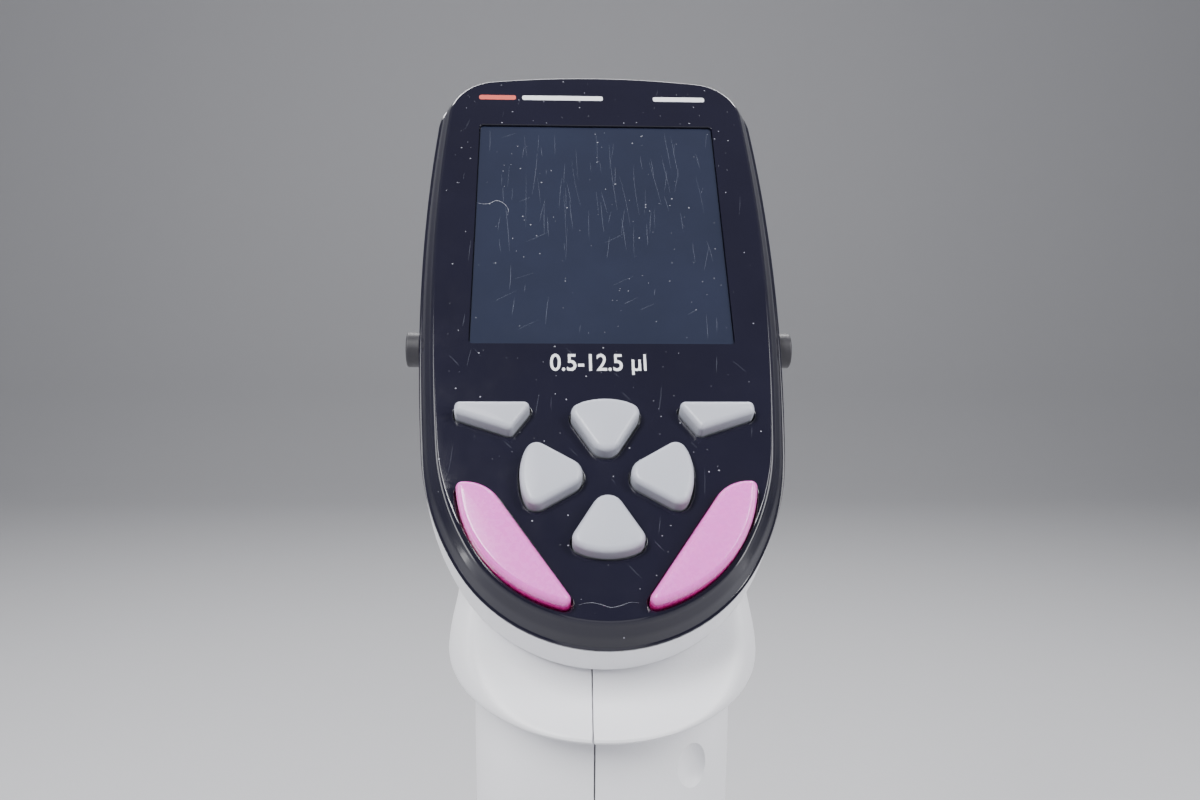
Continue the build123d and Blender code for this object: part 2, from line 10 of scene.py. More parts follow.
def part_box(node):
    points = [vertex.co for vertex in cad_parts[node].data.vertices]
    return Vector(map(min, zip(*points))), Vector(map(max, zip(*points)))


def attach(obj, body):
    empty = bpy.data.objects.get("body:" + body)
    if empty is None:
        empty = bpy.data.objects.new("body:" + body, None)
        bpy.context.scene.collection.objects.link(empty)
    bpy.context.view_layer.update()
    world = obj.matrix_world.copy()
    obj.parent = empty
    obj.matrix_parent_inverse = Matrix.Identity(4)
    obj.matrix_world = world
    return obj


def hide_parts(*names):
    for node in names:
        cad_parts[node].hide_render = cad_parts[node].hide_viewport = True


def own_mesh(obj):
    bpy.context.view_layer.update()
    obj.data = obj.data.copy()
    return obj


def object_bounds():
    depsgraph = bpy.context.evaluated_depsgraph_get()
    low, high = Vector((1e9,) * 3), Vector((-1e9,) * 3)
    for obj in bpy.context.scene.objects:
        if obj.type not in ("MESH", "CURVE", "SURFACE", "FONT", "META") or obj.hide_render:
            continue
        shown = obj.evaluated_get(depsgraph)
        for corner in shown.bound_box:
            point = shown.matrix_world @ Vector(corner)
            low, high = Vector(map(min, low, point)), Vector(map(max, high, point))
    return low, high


# Electronic pipette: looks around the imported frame. Lengths below are millimetres
# unless a name says otherwise; MM turns them into Blender's metres.
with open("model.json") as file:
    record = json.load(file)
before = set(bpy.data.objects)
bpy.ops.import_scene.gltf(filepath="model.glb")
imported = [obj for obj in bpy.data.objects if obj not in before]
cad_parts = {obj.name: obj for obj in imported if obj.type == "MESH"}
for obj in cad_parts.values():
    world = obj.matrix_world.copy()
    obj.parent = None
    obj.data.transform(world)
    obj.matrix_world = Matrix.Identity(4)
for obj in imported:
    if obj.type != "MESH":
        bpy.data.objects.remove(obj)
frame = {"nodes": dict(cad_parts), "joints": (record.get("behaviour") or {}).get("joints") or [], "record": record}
cad_low, cad_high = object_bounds()
MM = 0.001
NODES = frame["nodes"]
BODY_OF = {}
for body_name, members in frame["record"]["behaviour"]["bodies"].items():
    for member in members:
        BODY_OF[member] = body_name
SLOT_OF = {row["node"]: row["material_slot"] for row in frame["record"]["subparts"]}


# ------------------------------------------------------------------ the face's frame
def joint_axis(name):
    found = [joint for joint in frame["joints"] if joint["name"] == name]
    return Vector(found[0]["axis"]).normalized()


FACE_W = -joint_axis("arrow_up_press")
FACE_U = Vector((1, 0, 0))
FACE_V = FACE_W.cross(FACE_U)
FACE_TILT = math.atan2(-FACE_W.y, FACE_W.z)


def reach(node, direction):
    """How far a CAD node goes along a direction, lowest and highest, in metres."""
    along = [vertex.co.dot(direction) for vertex in NODES[node].data.vertices]
    return min(along), max(along)


WINDOW_V = 29.9              # the window's centre, up the face from the frame's origin
face_top = reach("front_bezel", FACE_W)[1]
pane_low, pane_high = reach("display_window", FACE_V)
face_origin = FACE_W * face_top + FACE_V * ((pane_low + pane_high) / 2 - WINDOW_V * MM)
FACE = Matrix.Translation(face_origin) @ Matrix(
    (FACE_U, FACE_V, FACE_W)).transposed().to_4x4() @ Matrix.Scale(MM, 4)
BODY = Matrix.Scale(MM, 4)

# ------------------------------------------------------------------ driving sizes
OUTLINE_ARCS = [(21.6, 57.0), (36.5, 27.0), (347.0, 6.8), (347.0, 3.2), (9.6, 78.5)]
BOTTOM_V = -32.6
BEZEL_DEPTH = 4.0
FRONT_WALL = 1.8
BEZEL_PROFILE = [            # (inset from the outline, w) from the parting line to the face
    (0.00, -4.00), (0.00, -3.72), (0.10, -3.60), (0.30, -3.50), (0.42, -3.30), (0.78, -2.45),
    (0.95, -2.05), (1.10, -1.82), (1.55, -1.08), (1.72, -0.80), (1.78, -0.66), (1.86, -0.52),
    (1.96, -0.37), (2.08, -0.23), (2.24, -0.11), (2.38, -0.03), (2.48, 0.00),
]
WINDOW_W, WINDOW_H = 36.2, 41.6
WINDOW_SEAT = 1.05
WINDOW_LIP = 1.5
WINDOW_CORNER_R = 0.6
SEAT_PROFILE = [(0.14, 0.0), (0.05, -0.03), (0.0, -0.12), (0.0, -WINDOW_SEAT)]     # (grow, w)
INNER_PROFILE = [(1.9, -BEZEL_DEPTH), (2.1, -FRONT_WALL - 0.4), (2.5, -FRONT_WALL)]   # (inset, w)
PAD_V = -11.6
PAD_R = 10.6
ARROW_HALF = 5.0
ARROW_CROWN = 0.25
ARROW_TIP_R, ARROW_CORNER_R = 2.0, 1.4
SOFT_CORNERS = [(9.1, -1.2), (12.1, -5.55), (19.4, -2.9), (19.3, -1.2)]
SOFT_CORNER_R = 0.7
SIDE_ARC = (1.2, -11.9, 17.5)
SIDE_TOP_V = -12.7
SIDE_APEX = (14.9, -12.7)
SIDE_RUN = (-8.5, -12.5)     # direction of the leaf keys' straight inner edge
SIDE_SHOULDER_R, SIDE_CORNER_R = 5.0, 0.8
KEY_GAP = 0.25
KEY_RISE = 2.2
KEY_ROLL = {"key_grey": 0.8, "key_magenta": 0.9}     # radius of the caps' top edges
KEY_FOOT = -2.7
KEY_CROWN = 0.12             # how much higher a cap's middle stands than its edge
KEY_FLAT_GROW = -0.58        # past this the outline shrinks in proportion instead
FLANGE_GROW, FLANGE_T = 0.6, 0.8
EDGE_BREAK = 0.15            # rounding of the key holes' rims

SEAM_TURN = -5.5             # degrees
HANDLE_PROFILE = [(12.9, 86), (13.5, 100), (15.0, 125), (16.5, 152), (17.1, 172), (17.1, 190)]
NECK_PROFILE = [(20.6, 178), (20.6, 189.5), (20.2, 193), (19.2, 197.5), (17.8, 206), (17.0, 216),
                (16.8, 228)]
COLLAR_Z = 189.0
COLLAR_TILT = math.tan(math.radians(12.0))
HANDLE_WALL = 2.0
SHELL_SCREWS = [(9.0, 146.0), (8.0, 205.0)]       # (y, z) in the seam's own frame
WELL_R, WELL_X = 2.1, (11.5, 30.0)
BUTTON_SLOT = [(-3.4, 3.4), (-30, -10), (139.5, 155.5)]
TRIGGER_WINDOW = [(-7.0, 7.0), (8, 30), (158, 184)]
SLOT_CORNER_R, WINDOW_EDGE_R = 1.2, 1.5
HEAD_BACK_W, HEAD_BACK_R = -13.42, 3.5
SCOOP_AT, SCOOP_SIZE = (0, -17.6, 178.6), (2.7, 1.6, 3.2)
SCOOP_TURN, SCOOP_LEAN = 39.0, -24.0      # degrees
DISH_R = 15.3
DISH_AT = (-24.0, 200.5)


# ------------------------------------------------------------------ outlines
def head_outline(inset):
    """The head's closed outline, counter-clockwise from the chin, moved inwards."""
    x, y, heading = 0.0, BOTTOM_V, 0.0
    arcs = list(OUTLINE_ARCS)
    left_over = 180.0 - sum(turn for radius, turn in arcs)
    half = []
    for index in range(len(arcs) + 1):
        if index < len(arcs):
            radius, turn = arcs[index]
        else:
            radius, turn = x / math.sin(math.radians(left_over)), left_over
        start = math.radians(heading)
        centre = (x - radius * math.sin(start), y + radius * math.cos(start))
        steps = max(6, round(radius * math.radians(turn) / 1.4), round(turn / 4))
        for step in range(steps):
            angle = math.radians(heading + turn * step / steps)
            half.append((centre[0] + (radius - inset) * math.sin(angle),
                         centre[1] - (radius - inset) * math.cos(angle)))
        heading += turn
        end = math.radians(heading)
        x, y = centre[0] + radius * math.sin(end), centre[1] - radius * math.cos(end)
    top = (0.0, y - inset)
    return half + [top] + [(-px, py) for px, py in reversed(half[1:])]


def rounded(corners, radii, grow, steps=7):
    """A convex polygon, clockwise or not, moved outwards and with rounded corners."""
    count = len(corners)
    points = [Vector(corner) for corner in corners]
    area = sum(points[i - 1].x * points[i].y - points[i].x * points[i - 1].y for i in range(count))
    if area < 0:
        points.reverse()
        radii = list(reversed(radii))
    outline = []
    for i in range(count):
        before = (points[i] - points[i - 1]).normalized()
        after = (points[(i + 1) % count] - points[i]).normalized()
        turn = before.angle_signed(after) * -1
        out_before, out_after = Vector((before.y, -before.x)), Vector((after.y, -after.x))
        bisector = (out_before + out_after).normalized()
        corner = points[i] + bisector * (grow / math.cos(turn / 2))
        if radii[i] <= 0:
            outline.append(corner)
            continue
        radius = radii[i] + grow
        centre = corner - bisector * (radius / math.cos(turn / 2))
        for step in range(steps + 1):
            angle = turn * step / steps
            arm = Vector((out_before.x * math.cos(angle) - out_before.y * math.sin(angle),
                          out_before.x * math.sin(angle) + out_before.y * math.cos(angle)))
            outline.append(centre + arm * radius)
    return [(point.x, point.y) for point in outline]


def arrow_outline(turn_degrees):
    def at(grow):
        top = math.sqrt(PAD_R ** 2 - ARROW_HALF ** 2)
        sagitta = PAD_R + ARROW_CROWN - top
        bow = (ARROW_HALF ** 2 + sagitta ** 2) / (2 * sagitta)
        spread = math.asin(ARROW_HALF / bow)
        crown = []
        for step in range(-4, 5):
            angle = -0.56 * spread * step / 4
            crown.append((bow * math.sin(angle), PAD_R + ARROW_CROWN - bow + bow * math.cos(angle)))
        corners = [(0.0, 1.2), (ARROW_HALF, top), *crown, (-ARROW_HALF, top)]
        radii = [ARROW_TIP_R, ARROW_CORNER_R] + [0.0] * len(crown) + [ARROW_CORNER_R]
        shape = rounded(corners, radii, grow)
        c, s = math.cos(math.radians(turn_degrees)), math.sin(math.radians(turn_degrees))
        return [(c * x - s * y, s * x + c * y + PAD_V) for x, y in shape]
    return at


def soft_outline(side):
    def at(grow):
        shape = rounded(SOFT_CORNERS, [SOFT_CORNER_R] * 4, grow)
        return [(side * x, y) for x, y in shape][::side]
    return at


def side_outline(side):
    """A leaf: round outside, straight inside, with a broad shoulder and two tight ends."""
    centre, radius = Vector(SIDE_ARC[:2]), SIDE_ARC[2]
    run = Vector(SIDE_RUN).normalized()
    inner = run.orthogonal() * -1
    inner = inner if inner.x < 0 else -inner          # outward normal of the inner edge

    def at(grow):
        tight = max(0.05, SIDE_CORNER_R + grow)
        broad = SIDE_SHOULDER_R + grow
        big, top = radius + grow, SIDE_TOP_V + grow
        line = Vector(SIDE_APEX).dot(inner) + grow
        shape = []

        def sweep(middle, r, start, end, steps):
            turn = (end - start) % math.tau
            for step in range(steps):
                angle = start + turn * step / steps
                shape.append((middle.x + r * math.cos(angle), middle.y + r * math.sin(angle)))

        up, down = math.pi / 2, math.atan2(inner.y, inner.x) % math.tau
        corner = Vector((centre.x + math.sqrt((big - tight) ** 2 - (top - tight - centre.y) ** 2),
                         top - tight))
        foot = (line - tight) - centre.dot(inner)
        tip = centre + inner * foot + run * math.sqrt((big - tight) ** 2 - foot ** 2)
        across = line - broad
        shoulder = Vector(((across - inner.y * (top - broad)) / inner.x, top - broad))
        low = math.atan2(*(tip - centre).yx)
        high = math.atan2(*(corner - centre).yx)
        sweep(centre, big, low, high, 30)
        sweep(corner, tight, high, up, 9)
        sweep(shoulder, broad, up, down, 12)
        sweep(tip, tight, down, low, 12)
        return [(side * x, y) for x, y in shape][::side]
    return at


def window_outline(grow):
    w, h = WINDOW_W / 2, WINDOW_H / 2
    corners = [(-w, WINDOW_V - h), (w, WINDOW_V - h), (w, WINDOW_V + h), (-w, WINDOW_V + h)]
    radius = WINDOW_CORNER_R if grow > -0.5 else 0.0
    return rounded(corners, [radius] * 4, grow)


KEYS = {
    "arrow_up": arrow_outline(0),
    "arrow_left": arrow_outline(90),
    "arrow_down": arrow_outline(180),
    "arrow_right": arrow_outline(270),
    "soft_key_right": soft_outline(1),
    "soft_key_left": soft_outline(-1),
    "side_key_right": side_outline(1),
    "side_key_left": side_outline(-1),
}


# ------------------------------------------------------------------ mesh tools
def ring_of(bm, outline, w):
    return [bm.verts.new((x, y, w)) for x, y in outline]


def bridge(bm, lower, upper):
    """Quads between two closed rings of the same length."""
    count = len(lower)
    for i in range(count):
        j = (i + 1) % count
        bm.faces.new((lower[i], lower[j], upper[j], upper[i]))


def skin(bm, rings):
    for lower, upper in zip(rings, rings[1:]):
        bridge(bm, lower, upper)


def fan(bm, ring, centre):
    middle = bm.verts.new(centre)
    for i in range(len(ring)):
        bm.faces.new((ring[i], ring[(i + 1) % len(ring)], middle))


def fill_between(bm, rings, normal):
    """Triangles that fill a flat outline and leave the other rings open."""
    edges = []
    for ring in rings:
        for i in range(len(ring)):
            pair = (ring[i], ring[(i + 1) % len(ring)])
            edges.append(bm.edges.get(pair) or bm.edges.new(pair))
    bmesh.ops.triangle_fill(bm, edges=edges, use_beauty=True, normal=normal)


def piece(name, bm, matrix, body, material, replaces=(), smooth_angle=40.0):
    """Finish a mesh: outward normals, smooth shading, its place, body, slot and finish."""
    bmesh.ops.recalc_face_normals(bm, faces=bm.faces)
    mesh = bpy.data.meshes.new(name)
    bm.to_mesh(mesh)
    bm.free()
    mesh.transform(matrix)
    mesh.shade_smooth()
    mesh.set_sharp_from_angle(angle=math.radians(smooth_angle))
    thing = bpy.data.objects.new(name, mesh)
    bpy.context.scene.collection.objects.link(thing)
    weighted = thing.modifiers.new("weighted", "WEIGHTED_NORMAL")
    weighted.keep_sharp = True
    mesh.materials.append(material)
    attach(thing, body)
    if replaces:
        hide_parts(*replaces)
    return thing


# ------------------------------------------------------------------ materials
def new_material(name):
    material = bpy.data.materials.new(name)
    material.use_nodes = True
    return material, material.node_tree.nodes, material.node_tree.links


def node(nodes, kind, **inputs):
    made = nodes.new(kind)
    for key, value in inputs.items():
        made.inputs[key.replace("_", " ")].default_value = value
    return made


def scaled(nodes, links, scale, turn=0.0):
    """Object coordinates, turned about X and stretched."""
    source = nodes.new("ShaderNodeTexCoord")
    mapping = nodes.new("ShaderNodeMapping")
    mapping.inputs["Rotation"].default_value = (turn, 0, 0)
    mapping.inputs["Scale"].default_value = scale
    links.new(source.outputs["Object"], mapping.inputs["Vector"])
    return mapping.outputs["Vector"]


def noise_value(nodes, links, vector, scale, detail=2.0, roughness=0.5):
    made = node(nodes, "ShaderNodeTexNoise", Scale=scale, Detail=detail, Roughness=roughness)
    links.new(vector, made.inputs["Vector"])
    return made.outputs["Fac"]


def ranged(nodes, links, value, low, high, to_low, to_high):
    made = nodes.new("ShaderNodeMapRange")
    for key, number in zip(("From Min", "From Max", "To Min", "To Max"), (low, high, to_low, to_high)):
        made.inputs[key].default_value = number
    links.new(value, made.inputs["Value"])
    return made.outputs["Result"]


def maths(nodes, links, operation, first, second):
    made = nodes.new("ShaderNodeMath")
    made.operation = operation
    for socket, value in zip(made.inputs, (first, second)):
        if isinstance(value, (int, float)):
            socket.default_value = value
        else:
            links.new(value, socket)
    return made.outputs[0]


def mixed(nodes, links, share, first, second):
    made = nodes.new("ShaderNodeMix")
    made.data_type = "RGBA"
    links.new(share, made.inputs["Factor"])
    for socket, value in ((made.inputs[6], first), (made.inputs[7], second)):
        if isinstance(value, tuple):
            socket.default_value = (*value, 1.0)
        else:
            links.new(value, socket)
    return made.outputs[2]


def bumped(nodes, links, height, depth_m):
    made = node(nodes, "ShaderNodeBump", Strength=1.0, Distance=depth_m)
    links.new(height, made.inputs["Height"])
    return made.outputs["Normal"]


def plain(name, colour, roughness, grain=2500.0, depth=0.00002, mottle=0.06, **sockets):
    """Moulded or machined surface: soft colour variation, uneven gloss and a fine grain."""
    material, nodes, links = new_material(name)
    shader = nodes["Principled BSDF"]
    wide = noise_value(nodes, links, scaled(nodes, links, (1, 1, 1)), 55.0, 4.0, 0.6)
    fine = noise_value(nodes, links, scaled(nodes, links, (1, 1, 1)), grain, 3.0, 0.6)
    dark = tuple(c * (1 - mottle) for c in colour)
    light = tuple(min(1.0, c * (1 + mottle)) for c in colour)
    links.new(mixed(nodes, links, wide, dark, light), shader.inputs["Base Color"])
    links.new(ranged(nodes, links, fine, 0.3, 0.7, roughness - 0.04, roughness + 0.05),
              shader.inputs["Roughness"])
    links.new(bumped(nodes, links, fine, depth), shader.inputs["Normal"])
    for key, value in sockets.items():
        shader.inputs[key.replace("_", " ")].default_value = value
    return material


def brushed(name, colour, roughness, along=(1, 1, 0.02)):
    """Metal with fine drawn lines."""
    material, nodes, links = new_material(name)
    shader = nodes["Principled BSDF"]
    lines = noise_value(nodes, links, scaled(nodes, links, along), 9000.0, 3.0, 0.6)
    patch = noise_value(nodes, links, scaled(nodes, links, (1, 1, 1)), 120.0, 3.0)
    dark = tuple(c * 0.86 for c in colour)
    links.new(mixed(nodes, links, patch, dark, colour), shader.inputs["Base Color"])
    links.new(ranged(nodes, links, lines, 0.3, 0.7, roughness - 0.08, roughness + 0.1),
              shader.inputs["Roughness"])
    links.new(bumped(nodes, links, lines, 0.000006), shader.inputs["Normal"])
    shader.inputs["Metallic"].default_value = 1.0
    return material


def dust_mask(nodes, links, scale, size, share):
    """Small round specks, on a few of the cells only."""
    cells = node(nodes, "ShaderNodeTexVoronoi", Scale=scale)
    links.new(scaled(nodes, links, (1, 1, 1)), cells.inputs["Vector"])
    speck = ranged(nodes, links, cells.outputs["Distance"], size, size * 0.6, 0.0, 1.0)
    split = nodes.new("ShaderNodeSeparateColor")
    links.new(cells.outputs["Color"], split.inputs["Color"])
    chosen = maths(nodes, links, "GREATER_THAN", split.outputs[0], 1.0 - share)
    return maths(nodes, links, "MULTIPLY", speck, chosen)


def polished(name, colour, mark, roughness, dust, coat=0.0):
    """Polished dark plastic: clouded colour, faint smears in its gloss, and a few specks."""
    material, nodes, links = new_material(name)
    shader = nodes["Principled BSDF"]
    specks = dust_mask(nodes, links, *dust)
    cloud = noise_value(nodes, links, scaled(nodes, links, (1, 1, 1)), 70.0, 4.0, 0.6)
    smear = noise_value(nodes, links, scaled(nodes, links, (1, 0.25, 1), -FACE_TILT), 260.0, 4.0, 0.6)
    body = mixed(nodes, links, cloud, tuple(c * 0.8 for c in colour), tuple(c * 1.2 for c in colour))
    links.new(mixed(nodes, links, specks, body, mark), shader.inputs["Base Color"])
    gloss = ranged(nodes, links, smear, 0.35, 0.75, roughness, roughness + 0.08)
    links.new(maths(nodes, links, "ADD", gloss, maths(nodes, links, "MULTIPLY", specks, 0.35)),
              shader.inputs["Roughness"])
    links.new(bumped(nodes, links, smear, 0.000001), shader.inputs["Normal"])
    shader.inputs["Coat Weight"].default_value = coat
    return material


def magenta_gel(name):
    """Tinted translucent plastic with light painted in: its top painted pale as a highlight and its foot painted
    deep as shade, graded by height.
    """
    material, nodes, links = new_material(name)
    shader = nodes["Principled BSDF"]
    split = nodes.new("ShaderNodeSeparateXYZ")
    links.new(scaled(nodes, links, (1, 1, 1), -FACE_TILT), split.inputs[0])
    # painted highlight and shade: the base colour runs from deep magenta at the cap's foot to pale pink at its
    # top, set by height and not by the lamps
    height = ranged(nodes, links, split.outputs["Z"], face_top + 0.2 * MM, face_top + 2.1 * MM, 0, 1)
    links.new(mixed(nodes, links, height, (0.55, 0.004, 0.20), (0.82, 0.17, 0.66)),
              shader.inputs["Base Color"])
    fine = noise_value(nodes, links, scaled(nodes, links, (1, 1, 1)), 1800.0, 3.0)
    links.new(ranged(nodes, links, fine, 0.3, 0.7, 0.22, 0.32), shader.inputs["Roughness"])
    links.new(bumped(nodes, links, fine, 0.000012), shader.inputs["Normal"])
    shader.inputs["Subsurface Weight"].default_value = 0.35
    shader.inputs["Subsurface Radius"].default_value = (0.9, 0.25, 0.6)
    shader.inputs["Subsurface Scale"].default_value = 0.0012
    shader.inputs["Coat Weight"].default_value = 0.4
    shader.inputs["Coat Roughness"].default_value = 0.08
    return material


MATERIALS = {
    "bezel_black": polished("bezel_black", (0.008, 0.0076, 0.018), (0.30, 0.30, 0.36), 0.09,
                            (620.0, 0.075, 0.16), 0.1),
    "window_clear": polished("window_clear", (0.017, 0.021, 0.041), (0.42, 0.45, 0.52), 0.09,
                             (430.0, 0.06, 0.04), 0.3),
    "lcd_dark": plain("lcd_dark", (0.03, 0.034, 0.055), 0.2),
    "foam_black": plain("foam_black", (0.03, 0.03, 0.03), 0.8, 900.0, 0.0002),
    "silicone_grey": plain("silicone_grey", (0.45, 0.46, 0.48), 0.55),
    "board_green": plain("board_green", (0.02, 0.13, 0.06), 0.35, 1200.0),
    "battery_wrap": plain("battery_wrap", (0.06, 0.16, 0.40), 0.3),
    "shell_white": plain("shell_white", (0.80, 0.80, 0.835), 0.42, 3200.0, 0.00003, 0.015),
    "contact_gold": brushed("contact_gold", (0.85, 0.62, 0.27), 0.3),
    "screw_steel": brushed("screw_steel", (0.60, 0.60, 0.62), 0.35),
    "stud_rubber": plain("stud_rubber", (0.022, 0.021, 0.027), 0.5, 2200.0, 0.00003, 0.1),
    "ring_grey": plain("ring_grey", (0.36, 0.37, 0.41), 0.42),
    "key_grey": plain("key_grey", (0.44, 0.455, 0.52), 0.34, 2600.0, 0.00002, 0.03),
    "key_magenta": magenta_gel("key_magenta"),
    "bracket_steel": brushed("bracket_steel", (0.58, 0.58, 0.60), 0.4),
    "switch_black": plain("switch_black", (0.03, 0.03, 0.035), 0.5),
    "spring_steel": brushed("spring_steel", (0.55, 0.55, 0.57), 0.3),
    "flex_amber": plain("flex_amber", (0.50, 0.24, 0.05), 0.3),
    "frame_black": plain("frame_black", (0.05, 0.05, 0.055), 0.55, 1500.0, 0.00004),
    "motor_steel": brushed("motor_steel", (0.52, 0.53, 0.55), 0.35),
    "bearing_brass": brushed("bearing_brass", (0.68, 0.50, 0.24), 0.4),
    "magnet_dark": plain("magnet_dark", (0.09, 0.09, 0.10), 0.5),
    "nut_natural": plain("nut_natural", (0.78, 0.75, 0.66), 0.45),
    "piston_steel": brushed("piston_steel", (0.70, 0.70, 0.72), 0.15),
    "barrel_grey": plain("barrel_grey", (0.46, 0.47, 0.50), 0.42),
    "seal_ptfe": plain("seal_ptfe", (0.86, 0.86, 0.84), 0.5),
    "cone_grey": plain("cone_grey", (0.50, 0.51, 0.56), 0.38),
    "seal_black": plain("seal_black", (0.02, 0.02, 0.02), 0.6),
    "sleeve_white": plain("sleeve_white", (0.78, 0.78, 0.81), 0.4, 3000.0, 0.00003, 0.02),
}


# ------------------------------------------------------------------ head pieces
def bezel():
    bm = bmesh.new()
    side = [ring_of(bm, head_outline(inset), w) for inset, w in BEZEL_PROFILE]
    skin(bm, side)
    rim, inner, ceiling = [ring_of(bm, head_outline(inset), w) for inset, w in INNER_PROFILE]
    bridge(bm, side[0], rim)
    skin(bm, [rim, inner, ceiling])
    face_holes, back_holes = [], []
    quarter = [0.0, 0.29, 0.62, 1.0]
    for outline in KEYS.values():
        rings = []
        for share in quarter:
            angle = share * math.pi / 2
            grow = KEY_GAP + EDGE_BREAK * (1 - math.sin(angle))
            rings.append(ring_of(bm, outline(grow), -EDGE_BREAK * (1 - math.cos(angle))))
        rings.append(ring_of(bm, outline(KEY_GAP), -FRONT_WALL))
        skin(bm, rings)
        face_holes.append(rings[0])
        back_holes.append(rings[-1])
    rings = [ring_of(bm, window_outline(grow), w) for grow, w in SEAT_PROFILE]
    skin(bm, rings)
    sight = [ring_of(bm, window_outline(-WINDOW_LIP), w) for w in (-WINDOW_SEAT, -FRONT_WALL)]
    skin(bm, sight)
    fill_between(bm, [rings[-1], sight[0]], (0, 0, 1))
    fill_between(bm, [side[-1], rings[0], *face_holes], (0, 0, 1))
    fill_between(bm, [ceiling, sight[-1], *back_holes], (0, 0, -1))
    return piece("bezel", bm, FACE, "handle", MATERIALS["bezel_black"],
                 ["front_bezel"], 28.0)


def key_cap(name, outline):
    """Cap with a soft rolled edge and a slightly crowned top."""
    slot = SLOT_OF[name]
    bm = bmesh.new()
    shoulder = KEY_FOOT + FLANGE_T
    profile = [(FLANGE_GROW, KEY_FOOT), (FLANGE_GROW, shoulder), (0.0, shoulder)]
    roll = KEY_ROLL[slot]
    for step in range(9):
        angle = step / 8 * math.pi / 2
        profile.append((roll * (math.cos(angle) - 1), KEY_RISE - roll * (1 - math.sin(angle)) - KEY_CROWN))
    rings = []
    for grow, w in profile:
        shape = outline(max(grow, KEY_FLAT_GROW))
        if grow < KEY_FLAT_GROW:
            centre = Vector((sum(x for x, y in shape), sum(y for x, y in shape))) / len(shape)
            size = max((Vector(point) - centre).length for point in shape)
            share = 1 + (grow - KEY_FLAT_GROW) / size
            shape = [tuple(centre + (Vector(point) - centre) * share) for point in shape]
        rings.append(ring_of(bm, shape, w))
    last = shape
    centre = Vector((sum(x for x, y in last), sum(y for x, y in last))) / len(last)
    crown_w = profile[-1][1]
    for share in (0.93, 0.8, 0.6, 0.35):
        shape = [tuple(centre + (Vector(point) - centre) * share) for point in last]
        rings.append(ring_of(bm, shape, crown_w + KEY_CROWN * (1 - share ** 2)))
    skin(bm, rings)
    fan(bm, rings[0], (centre.x, centre.y, KEY_FOOT))
    fan(bm, rings[-1], (centre.x, centre.y, KEY_RISE))
    return piece(name + "_cap", bm, FACE, BODY_OF[name], MATERIALS[slot], [name], 50.0)


# ------------------------------------------------------------------ handle
def along(profile, z):
    """Radius of a (radius, z) profile at a height, smoothly between its points."""
    if z <= profile[0][1]:
        return profile[0][0]
    for i in range(len(profile) - 1):
        (r0, z0), (r1, z1) = profile[i], profile[i + 1]
        if z <= z1:
            before = profile[i - 1] if i else profile[i]
            after = profile[i + 2] if i + 2 < len(profile) else profile[i + 1]
            slope0 = (r1 - before[0]) / max(1e-6, z1 - before[1])
            slope1 = (after[0] - r0) / max(1e-6, after[1] - z0)
            t, span = (z - z0) / (z1 - z0), z1 - z0
            return ((2 * t ** 3 - 3 * t ** 2 + 1) * r0 + (t ** 3 - 2 * t ** 2 + t) * span * slope0
                    + (3 * t ** 2 - 2 * t ** 3) * r1 + (t ** 3 - t ** 2) * span * slope1)
    return profile[-1][0]


def dished(point, radius, soft=1.2):
    """Push a point out of the hollow under the head's chin, softly at the hollow's edge."""
    y, z = point.y - DISH_AT[0], point.z - DISH_AT[1]
    distance = math.hypot(y, z)
    if point.y > 0 or distance > radius + 6 * soft:
        return point
    pushed = (distance + radius + math.sqrt((distance - radius) ** 2 + soft ** 2)) / 2
    share = pushed / max(distance, 1e-6)
    return Vector((point.x, DISH_AT[0] + y * share, DISH_AT[1] + z * share))


GRIP_ROWS = [86.0, 86.15, 86.5, 92, 98, 104, 110, 116, 122, 128, 134, 139.5, 143, 147, 151, 155.5, 160,
             164, 168, 172, 176, 179]
UNDER_ROWS = [(17.1, -1.6), (17.12, -0.9), (17.2, -0.45), (17.45, -0.12), (17.9, 0.0), (18.7, 0.02),
              (19.5, 0.05), (20.0, 0.2), (20.35, 0.5), (20.52, 0.9), (20.58, 1.4)]
NECK_ROWS, NECK_END_Z = 22, 226.0
BORE_R = 15.1                # the grip's inside radius, at most
SEAM_EDGE = [(0.26, 0.30), (0.32, 0.12), (0.44, 0.03), (0.70, 0.0)]    # (degrees in, sunk)
SEAM_CLEAR, SHELL_STEPS = 1.2, 72
CUT_SHARP = 32               # degrees


def shell_column(angle, sink):
    """Points up the handle at one angle about Z, outside and inside; sunk at the seam."""
    c, s = math.cos(angle), math.sin(angle)
    rows = []
    for z in GRIP_ROWS:
        edge = 0.45 if z < 86.1 else 0.12 if z < 86.3 else 0.0
        rows.append((along(HANDLE_PROFILE, z) - edge, z))
    brim = COLLAR_Z + COLLAR_TILT * 20.0 * s
    rows += [(radius, brim + rise) for radius, rise in UNDER_ROWS]
    start = rows[-1][1]
    for row in range(1, NECK_ROWS + 1):
        z = start + (NECK_END_Z - start) * (row / NECK_ROWS) ** 1.35
        rows.append((along(NECK_PROFILE, z), z))
    outside, inside = [], []
    for radius, z in rows:
        r_in = min(BORE_R, along(HANDLE_PROFILE, z) - HANDLE_WALL)
        out = Vector(((radius - sink) * c, (radius - sink) * s, z))
        into = Vector((r_in * c, r_in * s, z))
        if z > 179:
            out, into = dished(out, DISH_R), dished(into, DISH_R + HANDLE_WALL)
        outside.append(out)
        inside.append(into)
    return outside, inside


